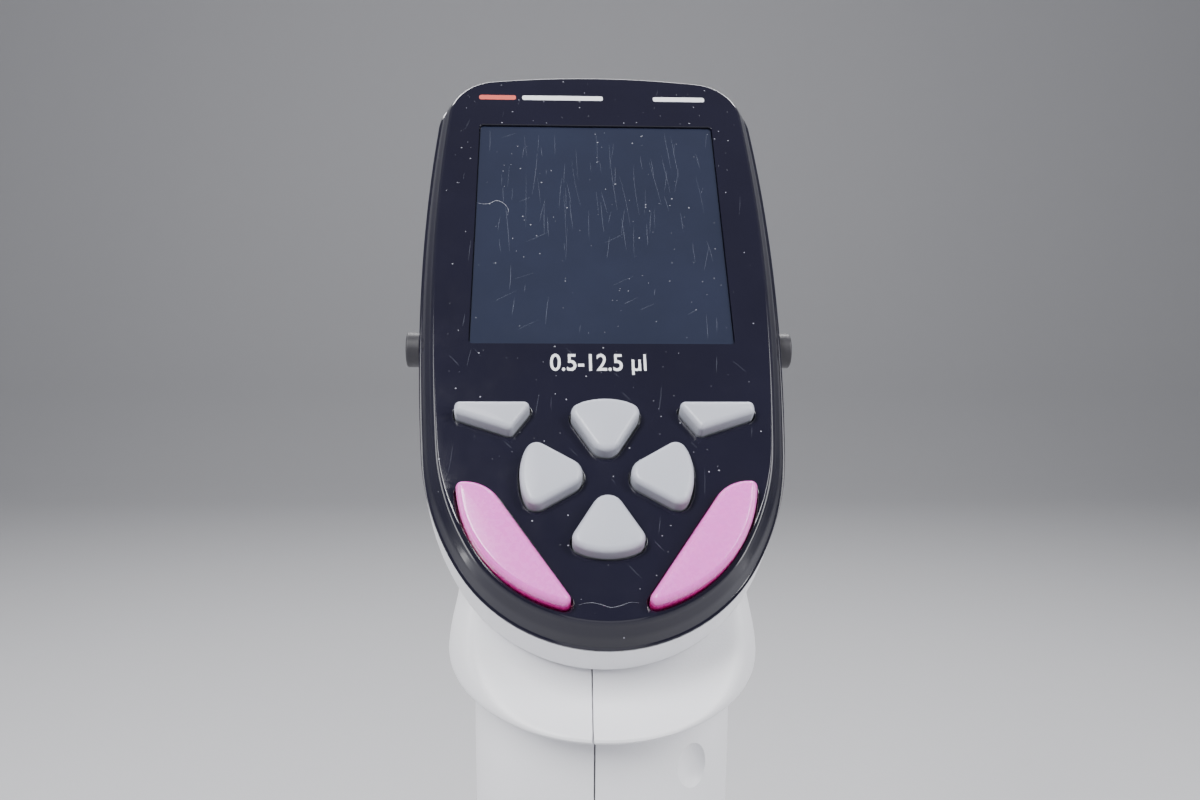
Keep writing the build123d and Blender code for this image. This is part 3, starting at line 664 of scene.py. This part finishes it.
def handle_half(name, side):
    """One moulded half of the handle, hollow, with a slightly rounded parting edge."""
    first = -90.0 + SEAM_TURN if side > 0 else 90.0 + SEAM_TURN
    span = 180 - 2 * SEAM_CLEAR
    angles = [(first + degrees, sink) for degrees, sink in SEAM_EDGE]
    angles += [(first + SEAM_CLEAR + span * step / SHELL_STEPS, 0.0) for step in range(SHELL_STEPS + 1)]
    angles += [(first + 180 - degrees, sink) for degrees, sink in reversed(SEAM_EDGE)]
    bm = bmesh.new()
    outside, inside = [], []
    for degrees, sink in angles:
        out, into = shell_column(math.radians(degrees), sink)
        outside.append([bm.verts.new(point) for point in out])
        inside.append([bm.verts.new(point) for point in into])
    for columns in (outside, inside):
        for left, right in zip(columns, columns[1:]):
            for i in range(len(left) - 1):
                bm.faces.new((left[i], right[i], right[i + 1], left[i + 1]))
    for end in (0, -1):
        for i in range(len(outside[0]) - 1):
            bm.faces.new((outside[end][i], outside[end][i + 1], inside[end][i + 1], inside[end][i]))
        for j in range(len(outside) - 1):
            bm.faces.new((outside[j][end], outside[j + 1][end], inside[j + 1][end], inside[j][end]))
    return piece(name + "_moulding", bm, BODY, "handle", MATERIALS["shell_white"],
                 [name], 40.0)


def cutter(name, bm):
    mesh = bpy.data.meshes.new(name)
    bm.to_mesh(mesh)
    bm.free()
    mesh.transform(BODY)
    thing = bpy.data.objects.new(name, mesh)
    bpy.context.scene.collection.objects.link(thing)
    return thing


def rounded_box(x, y, z, radius, steps=6):
    """A box with its four edges along Y rounded."""
    corners = [(x[0], z[0]), (x[1], z[0]), (x[1], z[1]), (x[0], z[1])]
    outline = rounded(corners, [radius] * 4, 0.0, steps)
    bm = bmesh.new()
    front = [bm.verts.new((px, y[0], pz)) for px, pz in outline]
    back = [bm.verts.new((px, y[1], pz)) for px, pz in outline]
    bridge(bm, front, back)
    bm.faces.new(front)
    bm.faces.new(list(reversed(back)))
    bmesh.ops.recalc_face_normals(bm, faces=bm.faces)
    return bm


def carve(thing, cutters):
    """Cut the other meshes out of a piece and keep the result as its mesh."""
    for other in cutters:
        cut = thing.modifiers.new("cut", "BOOLEAN")
        cut.operation = "DIFFERENCE"
        cut.solver = "EXACT"
        cut.object = other
    weighted = thing.modifiers["weighted"]
    thing.modifiers.remove(weighted)
    bpy.context.view_layer.update()
    graph = bpy.context.evaluated_depsgraph_get()
    cut_mesh = bpy.data.meshes.new_from_object(thing.evaluated_get(graph))
    thing.modifiers.clear()
    thing.data = cut_mesh
    cut_mesh.shade_smooth()
    cut_mesh.set_sharp_from_angle(angle=math.radians(CUT_SHARP))
    thing.modifiers.new("weighted", "WEIGHTED_NORMAL").keep_sharp = True
    for other in cutters:
        bpy.data.objects.remove(other)


HEAD_FRONT_W, HEAD_MIDDLE_V = 40.0, 15


def head_cutter():
    """The head's own space, so that the neck stops at its back."""
    bm = bmesh.new()
    profile = [(HEAD_BACK_R * (1 - math.sin(a)), HEAD_BACK_W + HEAD_BACK_R * (1 - math.cos(a)))
               for a in (math.radians(step * 10) for step in range(10))]
    profile.append((0.0, HEAD_FRONT_W))
    rings = [ring_of(bm, head_outline(inset - 0.02), w) for inset, w in profile]
    skin(bm, rings)
    fan(bm, rings[0], (0, HEAD_MIDDLE_V, profile[0][1]))
    fan(bm, rings[-1], (0, HEAD_MIDDLE_V, HEAD_FRONT_W))
    bmesh.ops.recalc_face_normals(bm, faces=bm.faces)
    mesh = bpy.data.meshes.new("head_space")
    bm.to_mesh(mesh)
    bm.free()
    mesh.transform(FACE)
    thing = bpy.data.objects.new("head_space", mesh)
    bpy.context.scene.collection.objects.link(thing)
    return thing


def scoop_cutter():
    bm = bmesh.new()
    bmesh.ops.create_uvsphere(bm, u_segments=48, v_segments=24, radius=1.0)
    turn = Matrix.Rotation(math.radians(SCOOP_TURN), 4, "Z")
    lean = Matrix.Rotation(math.radians(SCOOP_LEAN), 4, "Y")
    shape = Matrix.Translation(SCOOP_AT) @ lean @ Matrix.Diagonal((*SCOOP_SIZE, 1.0))
    bmesh.ops.transform(bm, matrix=turn @ shape, verts=bm.verts)
    return cutter("scoop", bm)


def screw_wells():
    """Round wells over the heads of the two screws that join the halves."""
    wells = []
    seam = Matrix.Rotation(math.radians(SEAM_TURN), 4, "Z")
    lying = Matrix.Rotation(math.pi / 2, 4, "Y")
    start, end = WELL_X
    for y, z in SHELL_SCREWS:
        bm = bmesh.new()
        place = seam @ Matrix.Translation(((start + end) / 2, y, z)) @ lying
        bmesh.ops.create_cone(bm, cap_ends=True, segments=40, radius1=WELL_R, radius2=WELL_R,
                              depth=end - start, matrix=place)
        wells.append(cutter("well", bm))
    return wells


def handle():
    for name, side in (("handle_left_shell", -1), ("handle_right_shell", 1)):
        half = handle_half(name, side)
        cutters = [
            cutter("slot", rounded_box(*BUTTON_SLOT, SLOT_CORNER_R)),
            cutter("hatch", rounded_box(*TRIGGER_WINDOW, WINDOW_EDGE_R)),
            head_cutter(),
        ]
        if side > 0:
            cutters += [scoop_cutter(), *screw_wells()]
        carve(half, cutters)


HOOK_TOP = [(13.0, 206.0), (24.0, 205.5), (34.0, 202.5), (41.0, 196.5), (44.5, 188.5)]
HOOK_NOSE = [(44.3, 186.6), (43.6, 185.1), (42.6, 184.75), (41.3, 184.85)]
HOOK_UNDER = [(40.2, 185.5), (37.5, 191.0), (32.5, 195.3), (25.0, 197.2), (13.0, 196.0)]
HOOK_HALF_W = 7.5
BUTTON_X, BUTTON_Z = 6.0, (138.0, 163.0)
BUTTON_OUT_R, BUTTON_IN_R = 20.4, 17.5


def smooth_path(points, steps=6):
    """More points along a path, on a curve through the given ones."""
    path = []
    for i in range(len(points) - 1):
        p0, p1 = Vector(points[max(0, i - 1)]), Vector(points[i])
        p2, p3 = Vector(points[i + 1]), Vector(points[min(len(points) - 1, i + 2)])
        for step in range(steps):
            t = step / steps
            path.append(0.5 * (2 * p1 + (p2 - p0) * t + (2 * p0 - 5 * p1 + 4 * p2 - p3) * t ** 2
                               + (3 * p1 - p0 - 3 * p2 + p3) * t ** 3))
    return path + [Vector(points[-1])]


def shrunk(path, amount):
    """A closed (y, z) path moved inwards by an amount."""
    count = len(path)
    moved = []
    for i in range(count):
        run = (path[(i + 1) % count] - path[i - 1]).normalized()
        moved.append(path[i] + Vector((-run.y, run.x)) * amount)
    return moved


HOOK_ROLL, HOOK_STEPS = 1.9, 6


def finger_hook():
    """The rest over the index finger, with its edges rolled over."""
    path = smooth_path(HOOK_TOP) + [Vector(point) for point in HOOK_NOSE] + smooth_path(HOOK_UNDER)
    area = sum(path[i - 1].cross(path[i]) for i in range(len(path)))
    if area < 0:
        path.reverse()
    bm = bmesh.new()
    rings = []
    for side in (-1, 1):
        half = []
        for step in range(HOOK_STEPS + 1):
            angle = step / HOOK_STEPS * math.pi / 2
            inward = HOOK_ROLL * (1 - math.cos(angle))
            x = HOOK_HALF_W - HOOK_ROLL * (1 - math.sin(angle))
            outline = shrunk(path, inward)
            half.append([bm.verts.new((side * x, point.x, point.y)) for point in outline])
        rings += list(reversed(half)) if side < 0 else half
    skin(bm, rings)
    for ring in (rings[0], rings[-1]):
        fill_between(bm, [ring], (1, 0, 0))
    return piece("finger_hook", bm, BODY, BODY_OF["finger_rest"],
                 MATERIALS[SLOT_OF["finger_rest"]], ["finger_rest"], 60.0)


PAD_COLUMNS, PAD_ROWS = 24, 60
PAD_CORNER_R, PAD_EDGE_R = 3.0, 1.3
RIB_DEPTH, RIB_PITCH, RIB_REACH = 0.22, 2.4, 6.0


def eject_pad():
    """The ejector's thumb pad: wrapped round the handle, rounded, with shallow grip ribs."""
    bm = bmesh.new()
    low, high = BUTTON_Z
    middle = (low + high) / 2
    flat_x = BUTTON_X - PAD_CORNER_R
    flat_z = (high - low) / 2 - PAD_CORNER_R
    grid, back = [], []
    for i in range(PAD_COLUMNS + 1):
        across = -BUTTON_X + 2 * BUTTON_X * i / PAD_COLUMNS
        column, behind = [], []
        for j in range(PAD_ROWS + 1):
            up = low + (high - low) * j / PAD_ROWS
            corner_x = max(0.0, abs(across) - flat_x) / PAD_CORNER_R
            corner_z = max(0.0, abs(up - middle) - flat_z) / PAD_CORNER_R
            far = math.hypot(corner_x, corner_z)
            pull = 1.0 if far <= 1 else 1 / far
            x, z = across, up
            if corner_x > 0:
                x = math.copysign(flat_x + PAD_CORNER_R * corner_x * pull, across)
            if corner_z > 0:
                z = middle + math.copysign(flat_z + PAD_CORNER_R * corner_z * pull, up - middle)
            near = min(1.0, (1 - min(1.0, far)) * PAD_CORNER_R / PAD_EDGE_R)
            fall = PAD_EDGE_R * (1 - math.sqrt(max(0.0, 1 - (1 - near) ** 2)))
            rib = RIB_DEPTH * (0.5 - 0.5 * math.cos((z - middle) * math.tau / RIB_PITCH))
            if abs(z - middle) >= RIB_REACH:
                rib = 0.0
            reach_out = BUTTON_OUT_R - fall - rib * near
            column.append(bm.verts.new((x, -math.sqrt(reach_out ** 2 - x ** 2), z)))
            behind.append(bm.verts.new((x, -math.sqrt(BUTTON_IN_R ** 2 - x ** 2), z)))
        grid.append(column)
        back.append(behind)
    for sheet in (grid, back):
        for left, right in zip(sheet, sheet[1:]):
            for j in range(PAD_ROWS):
                bm.faces.new((left[j], right[j], right[j + 1], left[j + 1]))
    for end in (0, -1):
        for j in range(PAD_ROWS):
            bm.faces.new((grid[end][j], grid[end][j + 1], back[end][j + 1], back[end][j]))
        for i in range(PAD_COLUMNS):
            bm.faces.new((grid[i][end], grid[i + 1][end], back[i + 1][end], back[i][end]))
    return piece("eject_pad", bm, BODY, BODY_OF["ejector_button"],
                 MATERIALS[SLOT_OF["ejector_button"]], ["ejector_button"], 50.0)


WIRE_R, WIRE_MARGIN = 0.31, 0.32
COIL_TURNS, COIL_STEPS, COIL_AROUND = 4.5, 216, 10


def return_coil():
    """The ejector's return spring, built as one fixed coil; the real one closes up as the button goes down."""
    low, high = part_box("ejector_spring")
    radius = (high.x - low.x) / 2 / MM - WIRE_MARGIN
    start, height = low.z / MM + WIRE_MARGIN, (high.z - low.z) / MM - 2 * WIRE_MARGIN
    bm = bmesh.new()
    rings = []
    for step in range(COIL_STEPS + 1):
        angle = step / COIL_STEPS * COIL_TURNS * math.tau
        c, s = math.cos(angle), math.sin(angle)
        z = start + height * step / COIL_STEPS
        ring = []
        for k in range(COIL_AROUND):
            a = k / COIL_AROUND * math.tau
            r = radius + WIRE_R * math.cos(a)
            ring.append(bm.verts.new((r * c, r * s, z + WIRE_R * math.sin(a))))
        rings.append(ring)
    skin(bm, rings)
    fan(bm, rings[0], (radius, 0.0, start))
    fan(bm, rings[-1], (radius * c, radius * s, start + height))
    coil = piece("return_coil", bm, BODY, BODY_OF["ejector_spring"],
                 MATERIALS[SLOT_OF["ejector_spring"]], ["ejector_spring"], 60.0)
    coil.modifiers.clear()
    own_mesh(coil)
    return coil


# ------------------------------------------------------------------ marks of use
MARK_RISE = 0.006            # marks stand this far above the surface they lie on


def sliver(bm, path, width, w):
    """A hair-thin strip along a path on the face, pointed at both ends."""
    last = len(path) - 1
    left, right = [], []
    for i, point in enumerate(path):
        run = (path[min(i + 1, last)] - path[max(i - 1, 0)]).normalized()
        half = width / 2 * (0.25 + 0.75 * math.sin(math.pi * i / last))
        off = Vector((-run.y, run.x)) * half
        left.append(bm.verts.new((point.x + off.x, point.y + off.y, w)))
        right.append(bm.verts.new((point.x - off.x, point.y - off.y, w)))
    for i in range(last):
        bm.faces.new((left[i], right[i], right[i + 1], left[i + 1]))


def speck(bm, at, size, w):
    ring = [bm.verts.new((at.x + size * math.cos(k * math.tau / 6) * (1 + 0.3 * (k % 2)),
                          at.y + size * math.sin(k * math.tau / 6), w)) for k in range(6)]
    bm.faces.new(ring)


def faint(name, colour, alpha):
    material = plain(name, colour, 0.45, 3000.0, 0.000002, 0.1)
    material.node_tree.nodes["Principled BSDF"].inputs["Alpha"].default_value = alpha
    return material


def inside(point, outline):
    hit = False
    for i in range(len(outline)):
        (x0, y0), (x1, y1) = outline[i - 1], outline[i]
        if (y0 > point.y) != (y1 > point.y) and point.x < (x1 - x0) * (point.y - y0) / (y1 - y0) + x0:
            hit = not hit
    return hit


def strokes(bm, chance, count, area, lean, length, width, w, allowed):
    """Scattered fine scratches over an area, roughly along one lean."""
    (u0, u1), (v0, v1) = area
    for _ in range(count):
        start = Vector((chance.uniform(u0, u1), chance.uniform(v0, v1)))
        tilt = math.radians(chance.gauss(lean, 3.5))
        reach_mm = chance.uniform(*length)
        bow = chance.uniform(-0.02, 0.02) * reach_mm
        run, side = Vector((math.sin(tilt), math.cos(tilt))), Vector((math.cos(tilt), -math.sin(tilt)))
        path = [start + run * reach_mm * t + side * bow * math.sin(math.pi * t)
                for t in (k / 6 for k in range(7))]
        if all(allowed(point) for point in path):
            sliver(bm, path, chance.uniform(*width), w)


def marks_of_use():
    chance = random.Random(12)
    pane_w = (reach("display_window", FACE_W)[1] - face_top) / MM + MARK_RISE
    pane = window_outline(-0.6)
    face = head_outline(3.0)
    holes = [outline(0.55) for outline in KEYS.values()] + [window_outline(0.3)]

    def on_pane(point):
        return inside(point, pane)

    def on_bezel(point):
        return inside(point, face) and not any(inside(point, hole) for hole in holes)

    u = (-WINDOW_W / 2, WINDOW_W / 2)
    v = (WINDOW_V - WINDOW_H / 2, WINDOW_V + WINDOW_H / 2)
    bm = bmesh.new()
    strokes(bm, chance, 70, (u, (v[0] + 14, v[1])), -3.0, (2.0, 11.0), (0.02, 0.045), pane_w, on_pane)
    strokes(bm, chance, 30, (u, v), 4.0, (1.0, 5.0), (0.02, 0.05), pane_w, on_pane)
    strokes(bm, chance, 14, (u, v), 60.0, (0.8, 4.0), (0.02, 0.04), pane_w, on_pane)
    strokes(bm, chance, 60, ((-24, 24), (-30, 62)), 8.0, (0.8, 4.0), (0.02, 0.04), MARK_RISE,
            on_bezel)
    strokes(bm, chance, 30, ((-24, 24), (-30, 8)), -40.0, (0.6, 2.5), (0.02, 0.04), MARK_RISE,
            on_bezel)
    piece("fine_scratches", bm, FACE, "handle", faint("scratch", (0.50, 0.54, 0.66), 0.20))
    bm = bmesh.new()
    for _ in range(320):
        point = Vector((chance.uniform(-24, 24), chance.uniform(-31, 62)))
        size = chance.choice((0.035, 0.045, 0.05, 0.07, 0.10))
        if on_pane(point):
            speck(bm, point, size, pane_w)
        elif on_bezel(point):
            speck(bm, point, size, MARK_RISE)
    hair = [(-18.0, 34.8), (-17.0, 34.5), (-16.0, 34.7), (-15.2, 35.2), (-14.4, 35.0), (-13.7, 34.3),
            (-13.3, 33.4), (-13.4, 32.4)]
    sliver(bm, smooth_path(hair, 4), 0.07, pane_w)
    thread = [(-3.7, -28.3), (-2.4, -28.0), (-1.2, -28.2), (0.0, -28.6), (1.2, -28.4), (2.4, -28.0),
              (3.5, -28.1)]
    sliver(bm, smooth_path(thread, 4), 0.035, MARK_RISE)
    piece("dust", bm, FACE, "handle", faint("dust_pale", (0.60, 0.61, 0.68), 0.50))


# ------------------------------------------------------------------ graphics
PRINT_FOOT, PRINT_RISE = -0.005, 0.012
TEXT_HALF_T, TEXT_BOLD, TEXT_SQUEEZE = 0.006, 0.045, 0.80


def pad_print(name, text, size, at, colour):
    """Thin printed characters on the face."""
    curve = bpy.data.curves.new(name, "FONT")
    curve.body = text
    curve.size = size
    curve.align_x = "CENTER"
    curve.align_y = "CENTER"
    curve.extrude = TEXT_HALF_T
    curve.offset = TEXT_BOLD
    thing = bpy.data.objects.new(name, curve)
    bpy.context.scene.collection.objects.link(thing)
    bpy.context.view_layer.update()
    graph = bpy.context.evaluated_depsgraph_get()
    mesh = bpy.data.meshes.new_from_object(thing.evaluated_get(graph))
    bpy.data.objects.remove(thing)
    squeeze = Matrix.Diagonal((TEXT_SQUEEZE, 1.0, 1.0, 1.0))
    mesh.transform(FACE @ Matrix.Translation((*at, PRINT_RISE)) @ squeeze)
    mesh.materials.clear()
    mesh.materials.append(colour)
    printed = bpy.data.objects.new(name, mesh)
    bpy.context.scene.collection.objects.link(printed)
    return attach(printed, "handle")


def printed_bar(name, low, high, colour):
    """Plain rounded bar printed on the face."""
    corners = [low, (high[0], low[1]), high, (low[0], high[1])]
    outline = rounded(corners, [0.35] * 4, 0.0)
    bm = bmesh.new()
    base, top = ring_of(bm, outline, PRINT_FOOT), ring_of(bm, outline, PRINT_RISE)
    bridge(bm, base, top)
    centre = ((low[0] + high[0]) / 2, (low[1] + high[1]) / 2)
    fan(bm, base, (*centre, PRINT_FOOT))
    fan(bm, top, (*centre, PRINT_RISE))
    return piece(name, bm, FACE, "handle", colour, (), 30.0)


def graphics():
    white = plain("print_white", (0.82, 0.83, 0.86), 0.5, 4000.0, 0.000004, 0.05)
    coral = plain("print_coral", (0.62, 0.10, 0.07), 0.5, 4000.0, 0.000004, 0.05)
    pad_print("volume_range", "0.5-12.5 µl", 3.8, (-0.6, 5.8), white)
    printed_bar("mark_short", (-18.4, 56.2), (-12.6, 57.2), coral)
    printed_bar("mark_long", (-11.6, 56.2), (1.2, 57.2), white)
    printed_bar("mark_right", (9.2, 56.2), (17.4, 57.2), white)


# ------------------------------------------------------------------ carried-over nodes
def dress_nodes():
    for name, thing in NODES.items():
        material = MATERIALS[SLOT_OF[name]]
        thing.data.materials.clear()
        thing.data.materials.append(material)


# ------------------------------------------------------------------ camera, light, floor
CAMERA_AT = Vector((-6.84, -139.41, 242.01)) * MM
CAMERA_YAW, CAMERA_PITCH, CAMERA_ROLL = 2.59, 7.78, -0.41      # degrees
CAMERA_LENS = 32.15


def camera():
    data = bpy.data.cameras.new("camera")
    data.lens = CAMERA_LENS
    data.sensor_width = 36.0
    data.clip_start, data.clip_end = 0.005, 10.0
    thing = bpy.data.objects.new("camera", data)
    bpy.context.scene.collection.objects.link(thing)
    yaw, pitch, roll = (math.radians(a) for a in (CAMERA_YAW, CAMERA_PITCH, CAMERA_ROLL))
    forward = Vector((math.sin(yaw) * math.cos(pitch), math.cos(yaw) * math.cos(pitch), -math.sin(pitch)))
    right = forward.cross(Vector((0, 0, 1))).normalized()
    down = forward.cross(right)
    image_x = right * math.cos(roll) + down * math.sin(roll)
    image_y = down * math.cos(roll) - right * math.sin(roll)
    turn = Matrix((image_x, -image_y, -forward)).transposed().to_4x4()
    thing.matrix_world = Matrix.Translation(CAMERA_AT) @ turn
    bpy.context.scene.camera = thing


def softbox(name, at, aim, size, power):
    data = bpy.data.lights.new(name, "AREA")
    data.shape = "RECTANGLE"
    data.size, data.size_y = size
    data.energy = power
    thing = bpy.data.objects.new(name, data)
    bpy.context.scene.collection.objects.link(thing)
    thing.location = at
    thing.rotation_mode = "QUATERNION"
    thing.rotation_quaternion = (Vector(aim) - Vector(at)).to_track_quat("-Z", "Y")


FLOOR_HALF_W, WALL_Y, WALL_TOP, COVE_R = 1.6, 1.3, 1.8, 0.4       # metres
FLOOR_GAP = 0.0005
HEAD_BELOW_TOP = 0.04


def studio():
    """A pale floor that curves up into a wall, six softboxes and a dim sky."""
    low, high = cad_low, cad_high
    bm = bmesh.new()
    cove_y = WALL_Y - COVE_R
    profile = [(-FLOOR_HALF_W, 0.0), (cove_y, 0.0)]
    profile += [(cove_y + COVE_R * math.sin(a), COVE_R - COVE_R * math.cos(a))
                for a in (math.radians(step * 9) for step in range(1, 11))]
    profile.append((WALL_Y, WALL_TOP))
    rows = [[bm.verts.new((x, y, z + low.z - FLOOR_GAP)) for x in (-FLOOR_HALF_W, FLOOR_HALF_W)]
            for y, z in profile]
    for lower, upper in zip(rows, rows[1:]):
        bm.faces.new((lower[0], lower[1], upper[1], upper[0]))
    mesh = bpy.data.meshes.new("floor")
    bm.to_mesh(mesh)
    bm.free()
    mesh.shade_smooth()
    floor = bpy.data.objects.new("floor", mesh)
    bpy.context.scene.collection.objects.link(floor)
    mesh.materials.append(plain("floor_pale", (0.46, 0.46, 0.48), 0.7, 900.0, 0.0001, 0.01))
    middle = (low + high) / 2
    head = Vector((0, 0, high.z - HEAD_BELOW_TOP))
    softbox("key_left", (-0.34, -0.42, 0.80), head, (0.16, 0.50), 9.0)
    softbox("key_right", (0.50, -0.36, 0.66), head, (0.12, 0.60), 5.0)
    softbox("strip_left", (-0.60, 0.02, 0.34), head, (0.13, 0.70), 1.7)
    softbox("strip_right", (0.60, 0.02, 0.34), head, (0.13, 0.70), 1.7)
    softbox("front_low", (0.0, -0.80, 0.16), middle, (0.5, 0.30), 0.5)
    softbox("top_back", (0.0, 0.46, 0.72), head, (0.8, 0.18), 8.0)
    world = bpy.data.worlds.new("studio")
    bpy.context.scene.world = world
    world.use_nodes = True
    world.node_tree.nodes["Background"].inputs["Color"].default_value = (0.80, 0.82, 0.88, 1)
    world.node_tree.nodes["Background"].inputs["Strength"].default_value = 0.25


# ------------------------------------------------------------------ build
dress_nodes()
bezel()
for key_name, key_outline in KEYS.items():
    key_cap(key_name, key_outline)
handle()
finger_hook()
eject_pad()
return_coil()
graphics()
marks_of_use()
camera()
studio()
